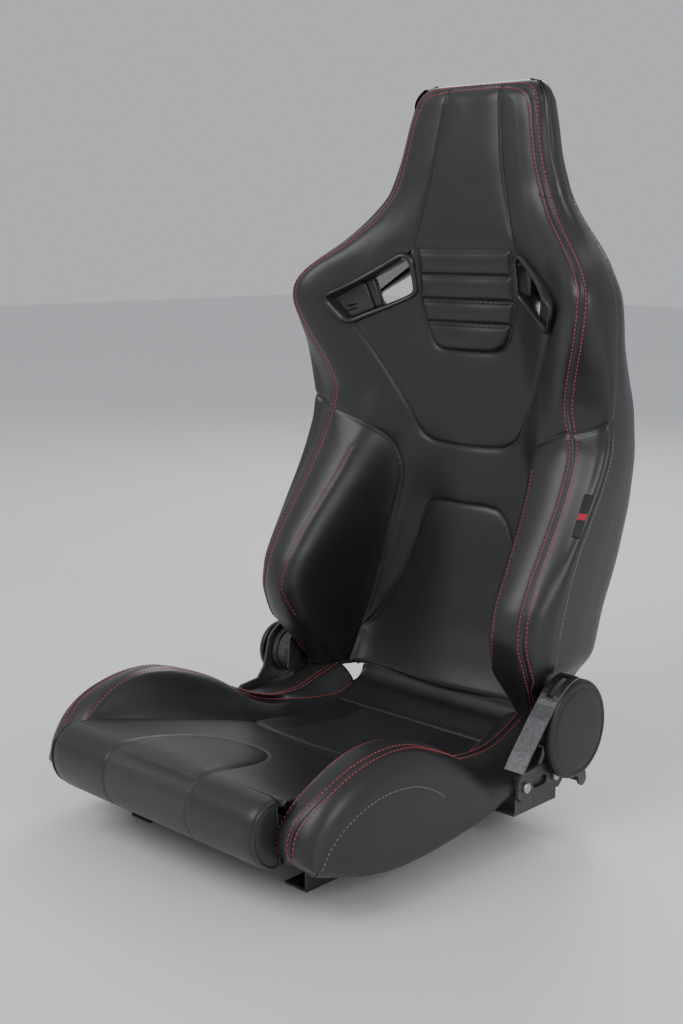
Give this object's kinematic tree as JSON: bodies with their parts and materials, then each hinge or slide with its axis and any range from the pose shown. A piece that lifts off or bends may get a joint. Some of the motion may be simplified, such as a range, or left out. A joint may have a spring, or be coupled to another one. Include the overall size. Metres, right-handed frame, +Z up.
{
  "type": "reclining racing seat",
  "caption": "Reclining sport seat with deep side bolsters, integral headrest, harness slots, two coupled recliners with one release lever, on mounting rails.",
  "frame": {"origin": "centre of the seat's footprint box at floor level, under the mounting rails", "axes": "+Z up, the occupant faces -Y, +X is the occupant's left"},
  "size_m": [0.562, 0.6912, 0.955],
  "materials": {
    "black_leatherette": "satin",
    "carbon_weave_vinyl": "satin weave emboss",
    "black_plastic": "satin",
    "black_painted_steel": "satin",
    "zinc_plated_steel": "satin",
    "spring_steel": "satin",
    "woven_tag": "matt"
  },
  "bodies": {
    "base": {"mount_rail_left": "black_painted_steel", "mount_rail_right": "black_painted_steel", "front_cross_tube": "black_painted_steel", "rear_cross_tube": "black_painted_steel", "seat_pan": "black_painted_steel", "cushion_spring_1": "spring_steel", "cushion_spring_2": "spring_steel", "cushion_spring_3": "spring_steel", "cushion_spring_4": "spring_steel", "seat_cushion": "black_leatherette", "knee_roll": "black_leatherette", "cushion_bolster_left": "black_leatherette", "cushion_bolster_right": "black_leatherette", "base_bracket_left": "black_painted_steel", "base_bolt_left_1": "zinc_plated_steel", "base_bolt_left_2": "zinc_plated_steel", "recliner_fixed_half_left": "zinc_plated_steel", "pivot_bolt_left": "zinc_plated_steel", "lever_return_spring_left": "spring_steel", "recliner_cover_left": "black_plastic", "base_bracket_right": "black_painted_steel", "base_bolt_right_1": "zinc_plated_steel", "base_bolt_right_2": "zinc_plated_steel", "recliner_fixed_half_right": "zinc_plated_steel", "pivot_bolt_right": "zinc_plated_steel", "lever_return_spring_right": "spring_steel", "recliner_cover_right": "black_plastic"},
    "release": {"release_lever_left": "zinc_plated_steel", "sync_crank_right": "zinc_plated_steel", "sync_rod": "zinc_plated_steel"},
    "backrest": {"back_frame": "black_painted_steel", "back_cross_tube": "black_painted_steel", "back_spring_1": "spring_steel", "back_spring_2": "spring_steel", "back_spring_3": "spring_steel", "back_spring_4": "spring_steel", "lumbar_pad": "black_leatherette", "upper_back_pad": "black_leatherette", "headrest_pad": "black_leatherette", "back_bolster_left": "black_leatherette", "shoulder_wing_left": "black_leatherette", "harness_bezel_left": "black_plastic", "harness_rear_bezel_left": "black_plastic", "back_bracket_left": "black_painted_steel", "back_bolt_left_1": "zinc_plated_steel", "back_bolt_left_2": "zinc_plated_steel", "recliner_moving_half_left": "zinc_plated_steel", "back_bolster_right": "black_leatherette", "shoulder_wing_right": "black_leatherette", "harness_bezel_right": "black_plastic", "harness_rear_bezel_right": "black_plastic", "back_bracket_right": "black_painted_steel", "back_bolt_right_1": "zinc_plated_steel", "back_bolt_right_2": "zinc_plated_steel", "recliner_moving_half_right": "zinc_plated_steel", "back_lower_roll": "black_leatherette", "back_shell": "carbon_weave_vinyl", "back_lower_flap": "carbon_weave_vinyl", "side_tag_left": "woven_tag"}
  },
  "joints": [
    {"name": "backrest_recline", "type": "hinge", "parent": "base", "child": "backrest", "pos_m": [0, 0.142, 0.13], "axis": [-1, 0, 0], "range_deg": [-42, 55]},
    {"name": "lever_release", "type": "hinge", "parent": "base", "child": "release", "pos_m": [0, 0.142, 0.13], "axis": [-1, 0, 0], "range_deg": [0, 20], "stiffness_Nm_per_rad": 3, "springref_deg": -20.05}
  ]
}
